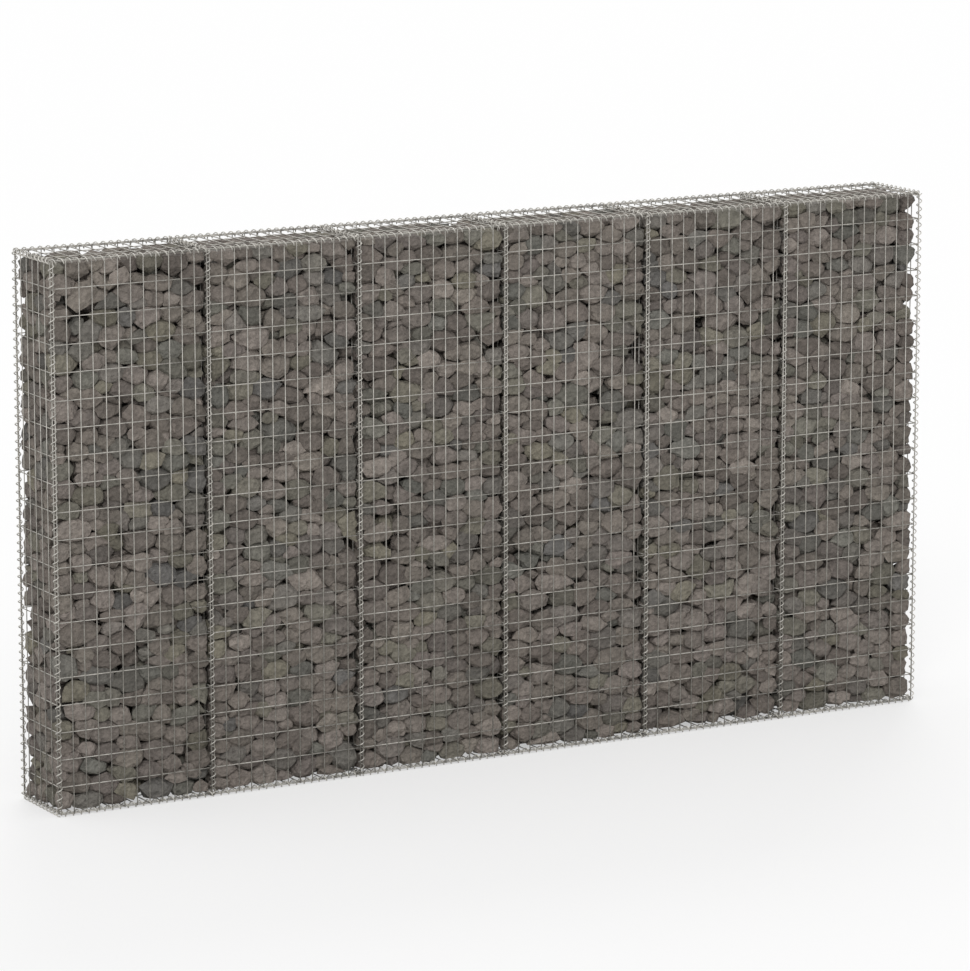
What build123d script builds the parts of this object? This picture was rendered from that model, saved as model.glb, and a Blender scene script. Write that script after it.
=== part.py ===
"""Welded-mesh gabion wall: six whole bays of a row that runs on.

Each bay is a tall, shallow basket of flat welded-wire panels, packed with stone:
a front, a back, a base and a cover, with a divider between neighbouring bays and
an end panel at each end of the row. Every panel is its own flat grille. The
wires of one direction lie in its outer layer and the wires of the other
direction lie behind them, and both sets run into a border wire all round.

Frame: X runs along the row, -Y is the front, +Z is up. The origin is at the
middle of the footprint, on the underside of the base panels. Millimetres.
"""
import os

from build123d import *

# The row
bay_count = 6
panel_gap = 6.0  # between the facing edges of neighbouring panels, where the lacing passes

# The welded mesh
wire_diameter = 4.0
layer_gap = 0.2  # between the two layers of wires, away from the border
cell_width = 50.0  # spacing of the upright wires
cell_height = 100.0  # spacing of the level wires
cell_count_across = 12
cell_count_up = 20
cell_count_deep = 6  # between the upright wires of a divider, front to back
cover_cell_count_deep = 3  # between the long wires of a cover or base, front to back

# How the pieces sit together
seat_clearance = 0.3
fill_face_gap = 7.0  # from the inner layer of the front and back mesh to the stone
fill_side_gap = 4.0  # from the divider on each side to the stone
fill_top_gap = 10.0  # from the cover's inner layer down to the stone
fill_edge_chamfer = 12.0

# Worked out from the sizes above
mesh_thickness = 2 * wire_diameter + layer_gap
panel_width = cell_count_across * cell_width + wire_diameter
panel_height = cell_count_up * cell_height + wire_diameter
panel_depth = cell_count_deep * cell_width + wire_diameter
bay_pitch = panel_width + panel_gap
front_wire_face = panel_depth / 2 + seat_clearance + mesh_thickness
divider_height = panel_height - 2 * (mesh_thickness + seat_clearance)


def inner_wires(cells, spacing):
    """Middles of the wires between the two border wires, about the panel's centre."""
    return [(number - cells / 2) * spacing for number in range(1, cells)]


def mesh_panel(width, height, upright_places, level_places):
    """A flat grille in the XY plane, centred on the origin, standing on its outer layer.

    Uprights run along Y in the outer layer, which starts at Z = 0, and level
    wires run along X in the inner layer. The border joins both layers.
    """
    seated = (Align.CENTER, Align.CENTER, Align.MIN)
    clear_width = width - 2 * wire_diameter
    clear_height = height - 2 * wire_diameter
    outline = Rectangle(width, height) - Rectangle(clear_width, clear_height)
    border = extrude(outline, amount=mesh_thickness)
    upright = Box(wire_diameter, clear_height, wire_diameter, align=seated)
    level = Box(clear_width, wire_diameter, wire_diameter, align=seated)
    inner_layer = wire_diameter + layer_gap
    uprights = [Pos(place, 0, 0) * upright for place in upright_places]
    levels = [Pos(0, place, inner_layer) * level for place in level_places]
    return border.fuse(*uprights, *levels).solid()


def wall_mesh():
    """The tall panel that faces the front or the back of a bay."""
    return mesh_panel(
        panel_width,
        panel_height,
        inner_wires(cell_count_across, cell_width),
        inner_wires(cell_count_up, cell_height),
    )


def flat_mesh():
    """The long narrow panel that closes a bay at its base or at its top."""
    cover_cell = cell_count_deep * cell_width / cover_cell_count_deep
    return mesh_panel(
        panel_width,
        panel_depth,
        inner_wires(cell_count_across, cell_width),
        inner_wires(cover_cell_count_deep, cover_cell),
    )


def cross_mesh():
    """The tall narrow panel between two bays or at an end of the row.

    It stands on the base panels and ends under the covers.
    """
    return mesh_panel(
        panel_depth,
        divider_height,
        inner_wires(cell_count_deep, cell_width),
        inner_wires(cell_count_up, cell_height),
    )


def stone_fill():
    """The block of packed stone in one bay, seated on the base mesh."""
    length = bay_pitch - mesh_thickness - 2 * fill_side_gap
    depth = panel_depth + 2 * (seat_clearance - fill_face_gap)
    bottom = mesh_thickness + seat_clearance
    top = panel_height - mesh_thickness - fill_top_gap
    block = Box(length, depth, top - bottom, align=(Align.CENTER, Align.CENTER, Align.MIN))
    worn_edges = block.edges().filter_by(Axis.Z) + block.edges().group_by(Axis.Z)[-1]
    return Pos(0, 0, bottom) * chamfer(worn_edges, fill_edge_chamfer)


def seam_place(number):
    """X of the middle of a seam, counted from 0 at the left end of the row."""
    return (number - bay_count / 2) * bay_pitch


def placed_parts():
    """Every piece of the row by name, in its place."""
    wall = wall_mesh()
    flat = flat_mesh()
    cross = cross_mesh()
    fill = stone_fill()
    mid_height = panel_height / 2
    # The outer layer of each panel faces out of the basket.
    facing_front = Pos(0, -front_wire_face, mid_height) * Rot(-90, 0, 0)
    facing_back = Rot(0, 0, 180) * facing_front
    facing_up = Pos(0, 0, panel_height) * Rot(180, 0, 0)
    across_row = Pos(-mesh_thickness / 2, 0, 0) * Rot(0, 0, 90) * Rot(90, 0, 0)
    parts = {}
    for number in range(1, bay_count + 1):
        at_bay = Pos(seam_place(number) - bay_pitch / 2, 0, 0)
        parts[f"front_mesh_{number}"] = at_bay * facing_front * wall
        parts[f"back_mesh_{number}"] = at_bay * facing_back * wall
        parts[f"base_mesh_{number}"] = at_bay * flat
        parts[f"cover_mesh_{number}"] = at_bay * facing_up * flat
        parts[f"stone_fill_{number}"] = at_bay * fill
    for number in range(1, bay_count):
        parts[f"divider_mesh_{number}"] = Pos(seam_place(number), 0, mid_height) * across_row * cross
    left_end = Pos(seam_place(0), 0, mid_height) * across_row * cross
    parts["end_mesh_left"] = left_end
    parts["end_mesh_right"] = Rot(0, 0, 180) * left_end
    return parts


os.makedirs("parts", exist_ok=True)
for name, part in placed_parts().items():
    part.label = name
    export_step(part, f"parts/{name}.step")
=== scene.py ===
"""Looks of the gabion wall: round wires, lacing spirals and single stones.

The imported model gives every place. Each mesh panel is drawn again in round
wire, each block of fill is drawn again as packed stones, and the spirals that
lace the panels together are added along the seams and edges. Lengths are in
metres.
"""
import itertools
import math

import bpy
import numpy as np
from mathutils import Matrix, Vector


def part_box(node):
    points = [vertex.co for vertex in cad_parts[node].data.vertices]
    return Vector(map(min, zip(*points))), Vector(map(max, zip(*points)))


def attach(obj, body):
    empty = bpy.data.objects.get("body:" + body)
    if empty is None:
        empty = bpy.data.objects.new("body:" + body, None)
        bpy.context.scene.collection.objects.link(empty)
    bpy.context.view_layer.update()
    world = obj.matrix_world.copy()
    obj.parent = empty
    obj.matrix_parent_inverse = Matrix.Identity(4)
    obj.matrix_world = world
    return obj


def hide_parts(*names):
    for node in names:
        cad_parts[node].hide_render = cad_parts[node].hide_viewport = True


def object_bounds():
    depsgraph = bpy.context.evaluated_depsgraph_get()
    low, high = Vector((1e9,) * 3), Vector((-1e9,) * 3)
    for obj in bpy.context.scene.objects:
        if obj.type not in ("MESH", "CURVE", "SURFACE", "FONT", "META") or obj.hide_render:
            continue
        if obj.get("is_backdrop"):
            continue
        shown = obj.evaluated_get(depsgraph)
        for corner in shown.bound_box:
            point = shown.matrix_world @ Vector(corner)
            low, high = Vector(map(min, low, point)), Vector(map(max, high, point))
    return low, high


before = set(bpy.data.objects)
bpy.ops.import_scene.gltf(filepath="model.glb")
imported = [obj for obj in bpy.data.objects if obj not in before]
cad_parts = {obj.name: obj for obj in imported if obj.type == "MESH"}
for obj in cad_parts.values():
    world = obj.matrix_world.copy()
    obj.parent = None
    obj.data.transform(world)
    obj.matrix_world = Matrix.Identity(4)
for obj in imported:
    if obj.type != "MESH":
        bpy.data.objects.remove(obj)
cad_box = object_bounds()

MM = 0.001

# Wires
wire_diameter = 4 * MM
weld_sink = 0.5 * MM  # how far a cross wire is pressed into the wire it is welded to
cell_width = 50 * MM
cell_height = 100 * MM
bay_count = 6
cells_across = 12
cells_up = 20
cells_deep = 6
cover_cells_deep = 3
wire_sides = 8

# Lacing
spiral_wire_diameter = 4.2 * MM
spiral_radius = 9.6 * MM  # to the middle of its wire
spiral_pitch = 30.9 * MM
border_depth = 0.75 * wire_diameter  # of the wires that a spiral goes round, from the row's top or base
spiral_setback = 1.5 * MM  # how far further in a spiral's own middle line lies
spiral_sides = 5
spiral_steps_per_turn = 10

# Stones
stone_spacing = 60 * MM
stone_shape = np.array([1.27, 1.05, 0.86])  # stones lie on their broad side
stone_overlap = 7 * MM  # how far neighbouring stones run into each other
face_insets = np.array([1, 6, 2]) * MM  # of stones behind the fill's sides, front and top, at most
side_press = 4 * MM  # how far the stones press out towards the dividers
top_heap = 4 * MM  # how far they are heaped above the fill's flat top
outer_depth = 14 * MM  # a stone that comes nearer to a side than this shows there
behind_depth = 75 * MM  # one that comes nearer than this can be seen between the others
least_sharpness = 12  # of a stone's edges, the power in smooth_radius
most_sharpness = 32
outer_grid = (10, [24, 48, 74, 112])  # sectors and ring angles of an outer stone, 80 triangles
behind_grid = (7, [50, 115])  # and of one behind it, 28 triangles
six_sides = np.concatenate([-np.eye(3), np.eye(3)])  # the outward directions of a box's sides

# Random seeds
first_packing = 41  # of the first bay's stones
first_winding = 7  # of the spirals


def linear(hex_colour):
    """sRGB hex to a linear RGBA colour, by the sRGB curve."""
    channels = np.array([int(hex_colour[place : place + 2], 16) for place in (1, 3, 5)]) / 255
    curve = np.where(channels <= 0.04045, channels / 12.92, ((channels + 0.055) / 1.055) ** 2.4)
    return (*curve, 1.0)


def add_node(tree, kind, settings=None, values=None, links=None):
    """Add one shader node, with its settings, its socket values and its incoming links."""
    node = tree.nodes.new(kind)
    for name, value in (settings or {}).items():
        setattr(node, name, value)
    for name, value in (values or {}).items():
        node.inputs[name].default_value = value
    for name, source in (links or {}).items():
        tree.links.new(source, node.inputs[name])
    return node


def new_material(name):
    """An empty node material, with its tree and its output node."""
    material = bpy.data.materials.new(name)
    material.use_nodes = True
    tree = material.node_tree
    tree.nodes.clear()
    return material, tree, add_node(tree, "ShaderNodeOutputMaterial")


def quarried_stone():
    """Broken grey stone, a few rocks mixed, dry and dusty: matt, chipped and mottled.

    The stone_tone attribute holds three random numbers for each stone. The first
    says which rock it is and the second how light it is, and all three together
    move its patterns to a place of their own. Its grit is drawn a little coarser
    than it is, so that it shows.
    """
    mottle_size = 26 * MM
    chip_size = 16 * MM
    grit_size = 4 * MM
    furthest_shift = (9.0, 9.0, 9.0)
    kinds = [
        (0.00, "#807971"),
        (0.30, "#736B65"),
        (0.48, "#8A827B"),
        (0.62, "#79716C"),
        (0.74, "#706F69"),
        (0.86, "#7C776A"),
        (1.00, "#6B6967"),
    ]
    material, tree, output = new_material("quarried_stone")
    tone = add_node(tree, "ShaderNodeAttribute", {"attribute_name": "stone_tone"})
    parts = add_node(tree, "ShaderNodeSeparateColor", links={"Color": tone.outputs["Color"]})
    place = add_node(tree, "ShaderNodeTexCoord").outputs["Object"]
    rocks = add_node(tree, "ShaderNodeValToRGB", links={"Fac": parts.outputs["Red"]})
    for position, _ in kinds[1:-1]:
        rocks.color_ramp.elements.new(position)
    for element, (_, colour) in zip(rocks.color_ramp.elements, kinds):
        element.color = linear(colour)
    shifted = add_node(
        tree,
        "ShaderNodeVectorMath",
        {"operation": "MULTIPLY_ADD"},
        {1: furthest_shift},
        {0: tone.outputs["Color"], 2: place},
    )
    blotches = add_node(
        tree,
        "ShaderNodeTexNoise",
        values={"Scale": 1 / mottle_size, "Detail": 5.0, "Roughness": 0.6},
        links={"Vector": shifted.outputs["Vector"]},
    )
    grit = add_node(
        tree,
        "ShaderNodeTexNoise",
        values={"Scale": 1 / grit_size, "Detail": 3.0, "Roughness": 0.65},
        links={"Vector": shifted.outputs["Vector"]},
    )
    chips = add_node(
        tree,
        "ShaderNodeTexVoronoi",
        {"feature": "F1"},
        {"Scale": 1 / chip_size},
        {"Vector": shifted.outputs["Vector"]},
    )
    relief = add_node(
        tree,
        "ShaderNodeMath",
        {"operation": "ADD"},
        links={0: chips.outputs["Distance"], 1: blotches.outputs["Fac"]},
    )
    lightness = add_node(
        tree,
        "ShaderNodeMapRange",
        values={"To Min": 0.75, "To Max": 1.25},
        links={"Value": parts.outputs["Green"]},
    )
    blotch_tone = add_node(
        tree,
        "ShaderNodeMapRange",
        values={"From Min": 0.35, "From Max": 0.65, "To Min": 0.8, "To Max": 1.2},
        links={"Value": blotches.outputs["Fac"]},
    )
    grit_tone = add_node(
        tree,
        "ShaderNodeMapRange",
        values={"From Min": 0.3, "From Max": 0.7, "To Min": 0.86, "To Max": 1.14},
        links={"Value": grit.outputs["Fac"]},
    )
    mottled = add_node(
        tree,
        "ShaderNodeMath",
        {"operation": "MULTIPLY"},
        links={0: lightness.outputs["Result"], 1: blotch_tone.outputs["Result"]},
    )
    all_tones = add_node(
        tree,
        "ShaderNodeMath",
        {"operation": "MULTIPLY"},
        links={0: mottled.outputs["Value"], 1: grit_tone.outputs["Result"]},
    )
    colour = add_node(
        tree,
        "ShaderNodeVectorMath",
        {"operation": "SCALE"},
        links={0: rocks.outputs["Color"], "Scale": all_tones.outputs["Value"]},
    )
    lumps = add_node(
        tree,
        "ShaderNodeBump",
        values={"Strength": 1.0, "Distance": 9 * MM},
        links={"Height": relief.outputs["Value"]},
    )
    grain = add_node(
        tree,
        "ShaderNodeBump",
        values={"Strength": 0.7, "Distance": 1.5 * MM},
        links={"Height": grit.outputs["Fac"], "Normal": lumps.outputs["Normal"]},
    )
    surface = add_node(
        tree,
        "ShaderNodeBsdfPrincipled",
        values={"Roughness": 0.88, "Specular IOR Level": 0.35},
        links={"Base Color": colour.outputs["Vector"], "Normal": grain.outputs["Normal"]},
    )
    tree.links.new(surface.outputs["BSDF"], output.inputs["Surface"])
    return material


def galvanised_wire(name, dull, bright):
    """Hot-dip galvanised steel wire, weathered dull: pale grey zinc, cloudy, barely glossy.

    Its colour wanders between the dull and the bright one. The lumps of the zinc
    are drawn deeper than they are, so that they show.
    """
    cloud_size = 22 * MM
    lump_size = 3 * MM
    material, tree, output = new_material(name)
    place = add_node(tree, "ShaderNodeTexCoord").outputs["Object"]
    clouds = add_node(
        tree,
        "ShaderNodeTexNoise",
        values={"Scale": 1 / cloud_size, "Detail": 4.0, "Roughness": 0.6},
        links={"Vector": place},
    )
    zinc = add_node(tree, "ShaderNodeValToRGB", links={"Fac": clouds.outputs["Fac"]})
    ends = ((0.35, dull), (0.65, bright))
    for element, (position, colour) in zip(zinc.color_ramp.elements, ends):
        element.position = position
        element.color = linear(colour)
    gloss = add_node(
        tree,
        "ShaderNodeMapRange",
        values={"To Min": 0.42, "To Max": 0.62},
        links={"Value": clouds.outputs["Fac"]},
    )
    lumps = add_node(
        tree,
        "ShaderNodeTexNoise",
        values={"Scale": 1 / lump_size, "Detail": 2.0, "Roughness": 0.5},
        links={"Vector": place},
    )
    skin = add_node(
        tree,
        "ShaderNodeBump",
        values={"Strength": 0.6, "Distance": 0.4 * MM},
        links={"Height": lumps.outputs["Fac"]},
    )
    surface = add_node(
        tree,
        "ShaderNodeBsdfPrincipled",
        values={"Metallic": 0.75},
        links={
            "Base Color": zinc.outputs["Color"],
            "Roughness": gloss.outputs["Result"],
            "Normal": skin.outputs["Normal"],
        },
    )
    tree.links.new(surface.outputs["BSDF"], output.inputs["Surface"])
    return material


def new_piece(name, points, face_groups, material, smooth=True):
    """A piece of the wall, from its points and its arrays of faces, each array of one corner count."""
    corner_counts = np.concatenate([np.full(len(group), group.shape[1]) for group in face_groups])
    corners = np.concatenate([group.ravel() for group in face_groups])
    starts = np.cumsum(corner_counts) - corner_counts
    mesh = bpy.data.meshes.new(name)
    mesh.vertices.add(len(points))
    mesh.vertices.foreach_set("co", points.astype(np.float32).ravel())
    mesh.loops.add(len(corners))
    mesh.loops.foreach_set("vertex_index", corners.astype(np.int32))
    mesh.polygons.add(len(starts))
    mesh.polygons.foreach_set("loop_start", starts.astype(np.int32))
    mesh.polygons.foreach_set("use_smooth", np.full(len(starts), smooth))
    mesh.update(calc_edges=True)
    mesh.materials.append(material)
    piece = bpy.data.objects.new(name, mesh)
    bpy.context.scene.collection.objects.link(piece)
    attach(piece, "root")
    return piece


def tube_faces(runs, rings, sides):
    """Index arrays for several tubes at once: the walls as quads, and both end caps.

    Points are numbered by run, then by ring along it, then by place round the ring.
    """
    numbers = np.arange(runs * rings * sides).reshape(runs, rings, sides)
    here = numbers[:, :-1]
    ahead = numbers[:, 1:]
    walls = np.stack([here, np.roll(here, -1, axis=2), np.roll(ahead, -1, axis=2), ahead], axis=-1)
    start_caps = numbers[:, 0, ::-1]
    end_caps = numbers[:, -1]
    return [walls.reshape(-1, 4), start_caps, end_caps]


def straight_wires(starts, ends):
    """Round rods: a ring of the wire's radius about each start point, and one about its end point."""
    along = ends - starts
    along = along / np.linalg.norm(along, axis=1, keepdims=True)
    helper = np.where(np.abs(along[:, 2:]) > 0.5, [[1.0, 0.0, 0.0]], [[0.0, 0.0, 1.0]])
    across = np.cross(along, helper)
    across = across / np.linalg.norm(across, axis=1, keepdims=True)
    beside = np.cross(along, across)
    turn = np.arange(wire_sides)[None, :, None] * 2 * np.pi / wire_sides
    ring = wire_diameter / 2 * (np.cos(turn) * across[:, None] + np.sin(turn) * beside[:, None])
    points = np.stack([starts[:, None] + ring, ends[:, None] + ring], axis=1)
    return points.reshape(-1, 3), tube_faces(len(starts), 2, wire_sides)


def wire_places(low, high, cells, spacing):
    """Middles of a panel's wires along one direction: the two border wires and those between."""
    middle = (low + high) / 2
    between = [middle + (number - cells / 2) * spacing for number in range(1, cells)]
    return np.array([low + wire_diameter / 2, *between, high - wire_diameter / 2])


def panel_wires(node, thin, upright, level, outward, upright_rows, level_rows):
    """Start and end points of the wires of one mesh panel, inside its solid's box.

    thin, upright and level are the axis numbers of the panel's thickness and of
    its two sets of wires. outward says which face the upright wires are on.
    upright_rows and level_rows are the cell count and spacing of each set.
    """
    low, high = (np.array(corner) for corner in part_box(node))
    outer_face = high[thin] if outward > 0 else low[thin]
    upright_depth = outer_face - outward * wire_diameter / 2
    level_depth = upright_depth - outward * (wire_diameter - weld_sink)
    starts = []
    ends = []
    for axis, other, depth, (cells, spacing) in (
        (upright, level, upright_depth, upright_rows),
        (level, upright, level_depth, level_rows),
    ):
        for place in wire_places(low[other], high[other], cells, spacing):
            start = np.zeros(3)
            start[thin] = depth
            start[other] = place
            end = start.copy()
            start[axis] = low[axis]
            end[axis] = high[axis]
            starts.append(start)
            ends.append(end)
    return np.array(starts), np.array(ends)


def draw_panel(node, name, material, *layout):
    """Replace one mesh panel's solid by its round wires."""
    points, face_groups = straight_wires(*panel_wires(node, *layout))
    piece = new_piece(name, points, face_groups, material)
    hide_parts(node)


def draw_panels(material):
    """Every mesh panel of the row, in round wire."""
    across = (cells_across, cell_width)
    up = (cells_up, cell_height)
    deep = (cells_deep, cell_width)
    cover_deep = (cover_cells_deep, cells_deep * cell_width / cover_cells_deep)
    x, y, z = range(3)
    for bay in range(1, bay_count + 1):
        draw_panel(f"front_mesh_{bay}", f"front_wires_{bay}", material, y, z, x, -1, across, up)
        draw_panel(f"back_mesh_{bay}", f"back_wires_{bay}", material, y, z, x, 1, across, up)
        draw_panel(f"base_mesh_{bay}", f"base_wires_{bay}", material, z, y, x, -1, across, cover_deep)
        draw_panel(f"cover_mesh_{bay}", f"cover_wires_{bay}", material, z, y, x, 1, across, cover_deep)
    for seam in range(1, bay_count):
        draw_panel(f"divider_mesh_{seam}", f"divider_wires_{seam}", material, x, z, y, -1, deep, up)
    draw_panel("end_mesh_left", "end_wires_left", material, x, z, y, -1, deep, up)
    draw_panel("end_mesh_right", "end_wires_right", material, x, z, y, 1, deep, up)


def spiral(start, end, phase):
    """A wire wound round the line from start to end.

    At s along the line, the middle of the wire is the spiral's radius out from
    it, turned by 2 pi s / pitch + phase. The wire's own section is a ring across
    its direction of travel.
    """
    axis = end - start
    length = np.linalg.norm(axis)
    axis = axis / length
    side = np.cross(axis, [0.0, 0.0, 1.0] if abs(axis[2]) < 0.5 else [1.0, 0.0, 0.0])
    side = side / np.linalg.norm(side)
    third = np.cross(axis, side)
    steps = int(length / spiral_pitch * spiral_steps_per_turn)
    travel = np.linspace(0.0, length, steps + 1)[:, None]
    angle = 2 * np.pi * travel / spiral_pitch + phase
    outward = np.cos(angle) * side + np.sin(angle) * third
    sideways = np.cos(angle) * third - np.sin(angle) * side
    forward = axis * spiral_pitch + sideways * 2 * np.pi * spiral_radius
    forward = forward / np.linalg.norm(forward, axis=1, keepdims=True)
    across = np.cross(forward, outward)
    middle = start + travel * axis + spiral_radius * outward
    turn = np.arange(spiral_sides)[None, :, None] * 2 * np.pi / spiral_sides
    ring = np.cos(turn) * outward[:, None] + np.sin(turn) * across[:, None]
    points = middle[:, None] + spiral_wire_diameter / 2 * ring
    return points.reshape(-1, 3), tube_faces(1, steps + 1, spiral_sides)


def spiral_lines():
    """Name, start and end of each lacing spiral: up the seams, then along the edges of each bay."""
    low, high = (np.array(corner) for corner in cad_box)
    front_edge = (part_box("front_mesh_1")[0][1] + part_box("cover_mesh_1")[0][1]) / 2
    depth = front_edge + spiral_setback
    base = low[2] + border_depth + spiral_setback
    top = high[2] - border_depth - spiral_setback
    dividers = [f"divider_mesh_{number}" for number in range(1, bay_count)]
    boxes = [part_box(node) for node in ("end_mesh_left", *dividers, "end_mesh_right")]
    seams = [(box[0][0] + box[1][0]) / 2 for box in boxes]
    lines = []
    for number, seam in enumerate(seams):
        lines.append((f"seam_spiral_front_{number}", (seam, depth, base), (seam, depth, top)))
        lines.append((f"seam_spiral_back_{number}", (seam, -depth, base), (seam, -depth, top)))
        lines.append((f"cross_spiral_top_{number}", (seam, depth, top), (seam, -depth, top)))
        lines.append((f"cross_spiral_base_{number}", (seam, depth, base), (seam, -depth, base)))
    for number, (left, right) in enumerate(zip(seams, seams[1:]), 1):
        for side, place in (("front", depth), ("back", -depth)):
            for level, height in (("top", top), ("base", base)):
                name = f"edge_spiral_{level}_{side}_{number}"
                lines.append((name, (left, place, height), (right, place, height)))
    return lines


def draw_spirals(material, rng):
    """Every lacing spiral, each started at a random turn."""
    for name, start, end in spiral_lines():
        points, face_groups = spiral(np.array(start), np.array(end), rng.uniform(0, 2 * np.pi))
        new_piece(name, points, face_groups, material)


def relaxed_seeds(rng, extent):
    """Middles and relative sizes of packed stones in a box of the given extent.

    Random points push each other apart where they are nearer than the sum of
    their radii, and stay inside the box.
    """
    packing = 0.86  # share of the box's volume that sets the number of stones
    size_spread = 0.3
    least_size = 0.5
    most_size = 1.6
    passes = 36
    push_share = np.float32(0.28)
    wall_margin = 0.82  # of a stone's radius, how near its middle may be to a side
    count = int(np.prod(extent) / stone_spacing**3 * packing)
    size = np.exp(rng.normal(0.0, size_spread, count)).clip(least_size, most_size).astype(np.float32)
    reach = 0.5 * stone_spacing * size
    place = (rng.uniform(0, 1, (count, 3)) * extent).astype(np.float32)
    extent = extent.astype(np.float32)
    for _ in range(passes):
        away = place[:, None] - place[None]
        distance = np.sqrt(np.einsum("ijk,ijk->ij", away, away))
        np.fill_diagonal(distance, np.inf)
        wanted = reach[:, None] + reach[None]
        push = np.clip(1 - distance / wanted, 0, None) * wanted / distance
        place = place + push_share * np.einsum("ijk,ij->ik", away, push)
        margin = wall_margin * reach[:, None]
        place = np.clip(place, margin, extent - margin)
    return place.astype(float), size.astype(float)


def smooth_radius(rays, normals, heights, sharpness):
    """How far a rounded polyhedron reaches along each ray.

    The radius in direction u is (sum over the faces of (u.n / h)^p)^(-1/p), taken
    where u.n > 0, for faces of normal n at height h. A large p gives sharp edges.
    """
    facing = np.einsum("svd,snd->svn", rays, normals).clip(0) / heights[:, None]
    return (facing ** sharpness[..., None]).sum(-1) ** (-1 / sharpness)


def stone_faces(rng, seeds, sizes, extent):
    """Normals and heights of the flat faces that bound each stone.

    A face's normal points at a neighbour, and its height is the stone's share of
    the way there, by the two sizes. The six sides of the box are faces too, each
    a little way in.
    """
    neighbours = 16
    least_height = 6 * MM
    away = seeds[None] - seeds[:, None]
    distance = np.sqrt((away**2).sum(-1))
    np.fill_diagonal(distance, np.inf)
    near = np.argpartition(distance, neighbours, axis=1)[:, :neighbours]
    near_distance = np.take_along_axis(distance, near, 1)
    normals = np.take_along_axis(away, near[..., None], 1) / near_distance[..., None]
    heights = near_distance * sizes[:, None] / (sizes[:, None] + sizes[near]) + stone_overlap / 2
    inset = rng.uniform(0, 1, (len(seeds), 1)) * face_insets
    wall_heights = np.concatenate([seeds - inset, extent - seeds - inset], 1)
    normals = np.concatenate([normals, np.broadcast_to(six_sides, (len(seeds), 6, 3))], 1)
    heights = np.concatenate([heights, wall_heights], 1).clip(least_height)
    return normals, heights


def polar_directions(sectors, ring_angles):
    """Directions on a sphere by rings about a pole, each ring turned half a sector from the last.

    Returns the unit vectors, pole along the third axis, and the triangles
    between the rings and at the two poles.
    """
    polar = np.radians(ring_angles)[:, None]
    turned = np.arange(len(ring_angles))[:, None] * 0.5
    around = (np.arange(sectors)[None] + turned) * 2 * np.pi / sectors
    level = np.broadcast_to(np.cos(polar), around.shape)
    rings = np.stack([np.sin(polar) * np.cos(around), np.sin(polar) * np.sin(around), level], -1)
    directions = np.concatenate([rings.reshape(-1, 3), [[0, 0, 1.0], [0, 0, -1.0]]])
    numbers = np.arange(len(ring_angles) * sectors).reshape(-1, sectors)
    inner, outer = numbers[:-1], numbers[1:]
    inner_next = np.roll(inner, -1, axis=1)
    outer_next = np.roll(outer, -1, axis=1)
    top, bottom = len(directions) - 2, len(directions) - 1
    first, last = numbers[0], numbers[-1]
    triangles = [
        np.stack([inner, outer, inner_next], -1).reshape(-1, 3),
        np.stack([inner_next, outer, outer_next], -1).reshape(-1, 3),
        np.stack([np.full(sectors, top), first, np.roll(first, -1)], -1),
        np.stack([np.full(sectors, bottom), np.roll(last, -1), last], -1),
    ]
    return directions, np.concatenate(triangles)


def stone_surfaces(rng, seeds, normals, heights, sharpness, poles, grid):
    """Points and triangles of stones bounded by the given faces.

    A few broken faces are cut a little way inside the others, and the radius is
    rippled by a sum of sines of the direction. Each stone's grid of directions
    has its pole towards the nearest side that shows, turned by a random angle.
    """
    directions, triangles = grid
    broken = 4
    broken_depth = (0.8, 1.0)  # of the way out to the other faces
    ripples = 4
    ripple_turns = 3.6  # radians of a ripple for each radian of direction, or so
    ripple_share = 0.02  # of the radius
    last_start = 6.0  # radians, nearly a whole turn
    count = len(seeds)
    cuts = rng.normal(size=(count, broken, 3))
    cuts = cuts / np.linalg.norm(cuts, axis=-1, keepdims=True)
    cut_heights = smooth_radius(cuts, normals, heights, sharpness)
    cut_heights = cut_heights * rng.uniform(*broken_depth, (count, broken))
    normals = np.concatenate([normals, cuts], 1)
    heights = np.concatenate([heights, cut_heights], 1)
    helper = np.where(np.abs(poles[:, 2:]) > 0.5, [[1.0, 0.0, 0.0]], [[0.0, 0.0, 1.0]])
    first = np.cross(helper, poles)
    second = np.cross(poles, first)
    turn = rng.uniform(0, 2 * np.pi, (count, 1))
    first, second = (
        np.cos(turn) * first + np.sin(turn) * second,
        np.cos(turn) * second - np.sin(turn) * first,
    )
    axes = np.stack([first, second, poles], 1)
    rays = np.einsum("vk,skd->svd", directions, axes)
    radius = smooth_radius(rays, normals, heights, sharpness)
    waves = rng.normal(size=(count, ripples, 3)) * ripple_turns
    starts = rng.uniform(0, last_start, (count, 1, ripples))
    ripple = np.sin(np.einsum("svd,snd->svn", rays, waves) + starts).sum(-1)
    radius = radius * (1 + ripple_share * ripple)
    points = seeds[:, None] + rays * radius[..., None]
    offsets = np.arange(count)[:, None, None] * len(directions)
    return points.reshape(-1, 3), (triangles[None] + offsets).reshape(-1, 3)


def block(low, high):
    """The eight corners and six outward faces of a box."""
    corners = np.array(list(itertools.product(*zip(low, high))))
    faces = [[0, 1, 3, 2], [4, 6, 7, 5], [0, 4, 5, 1], [2, 3, 7, 6], [0, 2, 6, 4], [1, 5, 7, 3]]
    return corners, np.array(faces)


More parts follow.
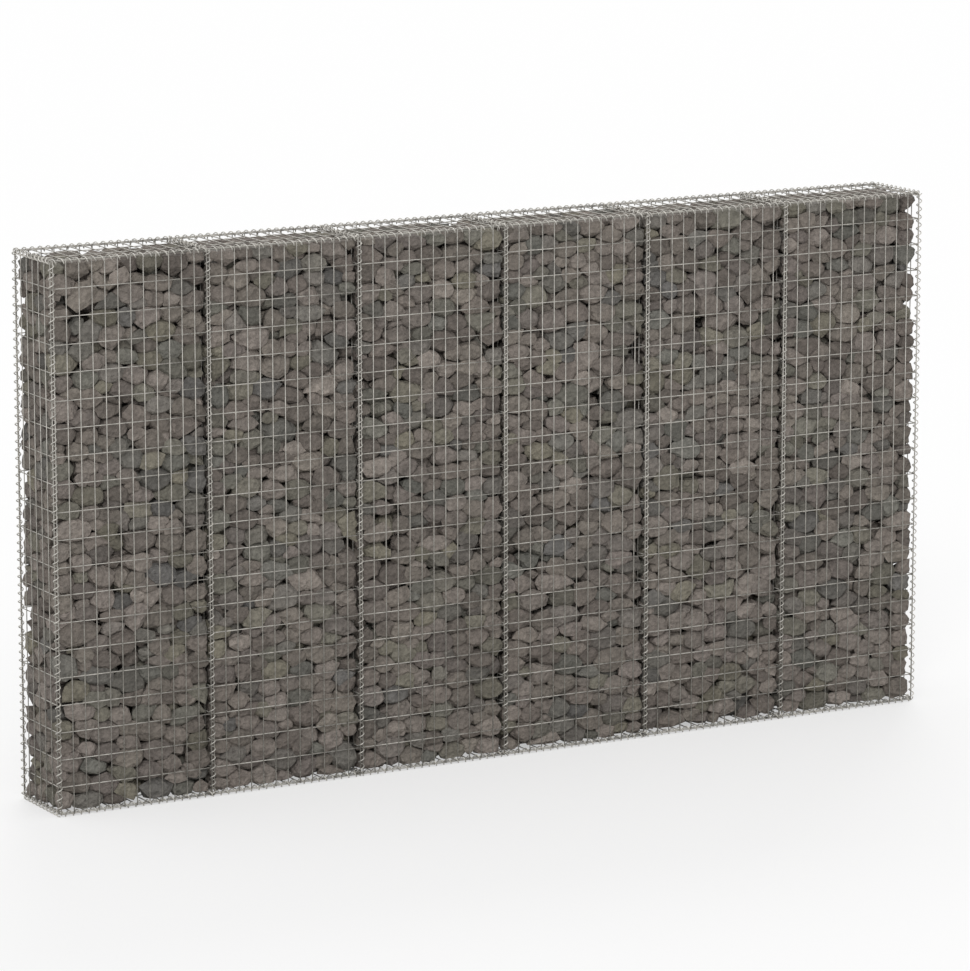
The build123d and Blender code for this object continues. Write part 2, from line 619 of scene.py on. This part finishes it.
def packed_stones(number, low, high):
    """Points, triangles and tones of the stones of one bay.

    Those that show have the finer grid, those behind them the plainer one, and
    the rest are left out. All are worked out in a space squeezed by stone_shape,
    and stretched at the end. A tone is three random numbers for each stone,
    repeated at its points.
    """
    rng = np.random.default_rng(first_packing + number - 1)
    extent = (high - low) / stone_shape
    seeds, sizes = relaxed_seeds(rng, extent)
    normals, heights = stone_faces(rng, seeds, sizes, extent)
    sharpness = rng.uniform(least_sharpness, most_sharpness, (len(seeds), 1))
    # How far each stone stays from each side of the box, and which sides can be seen
    reach = smooth_radius(np.broadcast_to(six_sides, (len(seeds), 6, 3)), normals, heights, sharpness)
    depth = np.concatenate([seeds, extent - seeds], 1) - reach
    seen = np.array([number == 1, True, True, number == bay_count, True, True])
    shown = np.where(seen, depth, np.inf)
    outer = shown.min(1) < outer_depth
    behind = ~outer & (depth.min(1) < behind_depth)
    points = []
    triangles = []
    stone_counts = []
    for chosen, (sectors, ring_angles) in ((outer, outer_grid), (behind, behind_grid)):
        grid = polar_directions(sectors, ring_angles)
        poles = six_sides[shown[chosen].argmin(1)]
        stone_points, stone_triangles = stone_surfaces(
            rng, seeds[chosen], normals[chosen], heights[chosen], sharpness[chosen], poles, grid
        )
        triangles.append(stone_triangles + sum(len(earlier) for earlier in points))
        points.append(stone_points)
        stone_counts.append((chosen.sum(), len(grid[0])))
    tones = [np.repeat(rng.uniform(0, 1, (count, 3)), corners, 0) for count, corners in stone_counts]
    return low + np.concatenate(points) * stone_shape, np.concatenate(triangles), np.concatenate(tones)


def draw_stones(number, material):
    """One bay's fill as single stones, with a plain block in its heart, where none can be seen; the
    block is a darker stone, painted shade for the deep gaps.
    """
    heart_margin = np.array([0.6, 1.8, 1.5]) * stone_spacing
    # painted shade: the heart block takes a low tone, a darker stone, so the deep gaps between the
    # stones read as shade
    heart_shade_tone = 0.1  # of all three numbers
    low, high = (np.array(corner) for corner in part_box(f"stone_fill_{number}"))
    low[0] -= side_press
    high[0] += side_press
    high[2] += top_heap
    points, triangles, tones = packed_stones(number, low, high)
    heart_points, heart_faces = block(low + heart_margin, high - heart_margin)
    piece = new_piece(
        f"packed_stone_{number}",
        np.concatenate([points, heart_points]),
        [triangles, heart_faces + len(points)],
        material,
        smooth=False,  # broken stone has flat faces
    )
    colours = np.ones((len(points) + len(heart_points), 4))
    colours[: len(points), :3] = tones
    colours[len(points) :, :3] = heart_shade_tone
    attribute = piece.data.attributes.new("stone_tone", "FLOAT_COLOR", "POINT")
    attribute.data.foreach_set("color", colours.ravel())
    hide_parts(f"stone_fill_{number}")


def draw_camera(centre):
    """The photograph's side of the wall: seen from the left and from above, through a long lens."""
    azimuth = math.radians(-29.3)
    elevation = math.radians(11.0)
    distance = 18.9
    view_width = 3.63
    sensor_width = 36.0
    back = Vector(
        (
            math.sin(azimuth) * math.cos(elevation),
            -math.cos(azimuth) * math.cos(elevation),
            math.sin(elevation),
        )
    )
    data = bpy.data.cameras.new("camera")
    data.sensor_width = sensor_width
    data.lens = sensor_width * distance / view_width
    data.clip_end = 200
    camera = bpy.data.objects.new("camera", data)
    camera.location = centre + back * distance
    camera.rotation_euler = back.to_track_quat("Z", "Y").to_euler()
    bpy.context.scene.collection.objects.link(camera)
    bpy.context.scene.camera = camera


def draw_floor(height):
    """A wide pale floor at the wall's lowest point.

    Where the camera looks straight at it, it is half plain white and half lit,
    so that it reads as a white ground with a soft shadow.
    """
    reach = 60.0
    paper_white = linear("#FFFFFF")
    material, tree, output = new_material("pale_floor")
    path = add_node(tree, "ShaderNodeLightPath")
    for_light = add_node(tree, "ShaderNodeBsdfDiffuse", values={"Color": linear("#E6E6E4")})
    lit_white = add_node(tree, "ShaderNodeBsdfDiffuse", values={"Color": paper_white})
    plain_white = add_node(tree, "ShaderNodeEmission", values={"Color": paper_white})
    for_camera = add_node(
        tree,
        "ShaderNodeMixShader",
        values={0: 0.5},
        links={1: lit_white.outputs["BSDF"], 2: plain_white.outputs["Emission"]},
    )
    surface = add_node(
        tree,
        "ShaderNodeMixShader",
        links={
            0: path.outputs["Is Camera Ray"],
            1: for_light.outputs["BSDF"],
            2: for_camera.outputs["Shader"],
        },
    )
    tree.links.new(surface.outputs["Shader"], output.inputs["Surface"])
    corners = [(reach * x, reach * y, height) for x, y in ((-1, -1), (1, -1), (1, 1), (-1, 1))]
    mesh = bpy.data.meshes.new("floor")
    mesh.from_pydata(corners, [], [(0, 1, 2, 3)])
    mesh.materials.append(material)
    floor = bpy.data.objects.new("floor", mesh)
    bpy.context.scene.collection.objects.link(floor)
    floor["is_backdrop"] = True


def draw_lights():
    """Plain soft studio light: an even white surround and two broad lamps, front left and behind.

    The surround is white to the eye and in reflections, and a little dimmer as light.
    """
    lamp_width = math.radians(25)  # as seen from the wall, so that shadows have soft edges
    world = bpy.data.worlds.new("studio")
    bpy.context.scene.world = world
    world.use_nodes = True
    tree = world.node_tree
    tree.nodes.clear()
    path = add_node(tree, "ShaderNodeLightPath")
    eye_or_gloss = add_node(
        tree,
        "ShaderNodeMath",
        {"operation": "MAXIMUM"},
        links={0: path.outputs["Is Camera Ray"], 1: path.outputs["Is Glossy Ray"]},
    )
    seen = add_node(
        tree,
        "ShaderNodeMath",
        {"operation": "MAXIMUM"},
        links={0: eye_or_gloss.outputs["Value"], 1: path.outputs["Is Transmission Ray"]},
    )
    strength = add_node(
        tree,
        "ShaderNodeMapRange",
        values={"To Min": 0.69, "To Max": 1.0},
        links={"Value": seen.outputs["Value"]},
    )
    background = add_node(
        tree,
        "ShaderNodeBackground",
        values={"Color": linear("#FFFFFF")},
        links={"Strength": strength.outputs["Result"]},
    )
    output = add_node(tree, "ShaderNodeOutputWorld")
    tree.links.new(background.outputs["Background"], output.inputs["Surface"])
    for name, energy, towards in (
        ("key_lamp", 0.96, (-0.55, -0.85, 0.7)),
        ("back_lamp", 0.7, (0.55, 0.85, 0.7)),
    ):
        data = bpy.data.lights.new(name, "SUN")
        data.energy = energy
        data.angle = lamp_width
        lamp = bpy.data.objects.new(name, data)
        lamp.rotation_euler = Vector(towards).to_track_quat("Z", "Y").to_euler()
        bpy.context.scene.collection.objects.link(lamp)


# The lacing wire is drawn brighter than the mesh wire
mesh_wire = galvanised_wire("galvanised_mesh_wire", "#A09D97", "#C4C1BA")
lacing_wire = galvanised_wire("galvanised_lacing_wire", "#B8B5AF", "#DCD9D2")
stone = quarried_stone()
draw_panels(mesh_wire)
draw_spirals(lacing_wire, np.random.default_rng(first_winding))
for bay in range(1, bay_count + 1):
    draw_stones(bay, stone)
draw_floor(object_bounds()[0].z)
draw_camera((cad_box[0] + cad_box[1]) / 2)
draw_lights()
bpy.context.scene.view_settings.view_transform = "Standard"
